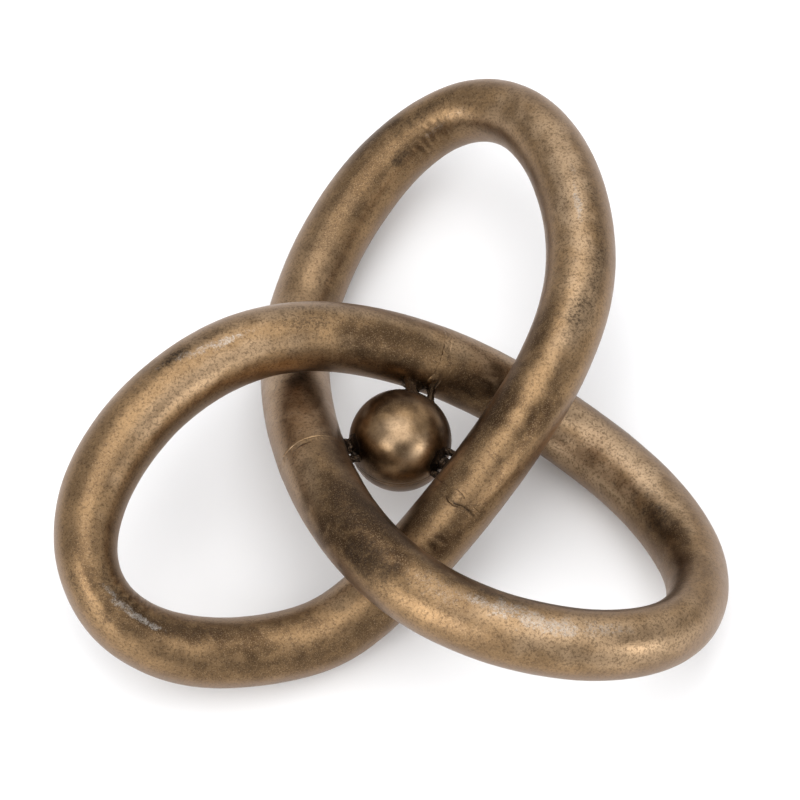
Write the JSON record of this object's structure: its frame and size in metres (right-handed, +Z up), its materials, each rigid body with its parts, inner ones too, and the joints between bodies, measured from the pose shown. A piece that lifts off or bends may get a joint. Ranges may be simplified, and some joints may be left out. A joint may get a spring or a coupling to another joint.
{
  "type": "ornamental metal knot",
  "caption": "Free-standing ornament: one closed knot of bent round metal tube, over and under itself, with a hollow ball held at its middle on short welded studs.",
  "frame": {"origin": "middle of the footprint, on the surface that the felt pads rest on", "axes": "+Z up, +Y from the viewer towards the rear loop, +X to the right; the left loop points to -X and the right loop to +X and -Y"},
  "size_m": [0.2414, 0.2608, 0.0715],
  "materials": {
    "tube_patina": "mottled antique brass patina, satin, with darker brown patches and pale worn specks",
    "ball_patina": "antique brass patina, smoother and a little brighter than the tube",
    "weld_patina": "dark antique brass patina over rough weld metal",
    "felt": "dark brown pressed felt"
  },
  "bodies": {
    "root": {"ball_lower_shell": "ball_patina", "ball_seam_weld": "ball_patina", "ball_upper_shell": "ball_patina", "left_loop_pad": "felt", "left_loop_tube": "tube_patina", "left_right_butt_weld": "weld_patina", "left_right_stud": "weld_patina", "left_right_stud_ball_weld": "weld_patina", "left_right_stud_tube_weld": "weld_patina", "rear_left_butt_weld": "weld_patina", "rear_left_stud": "weld_patina", "rear_left_stud_ball_weld": "weld_patina", "rear_left_stud_tube_weld": "weld_patina", "rear_loop_pad": "felt", "rear_loop_tube": "tube_patina", "right_loop_pad": "felt", "right_loop_tube": "tube_patina", "right_rear_butt_weld": "weld_patina", "right_rear_stud": "weld_patina", "right_rear_stud_ball_weld": "weld_patina", "right_rear_stud_tube_weld": "weld_patina"}
  },
  "joints": []
}
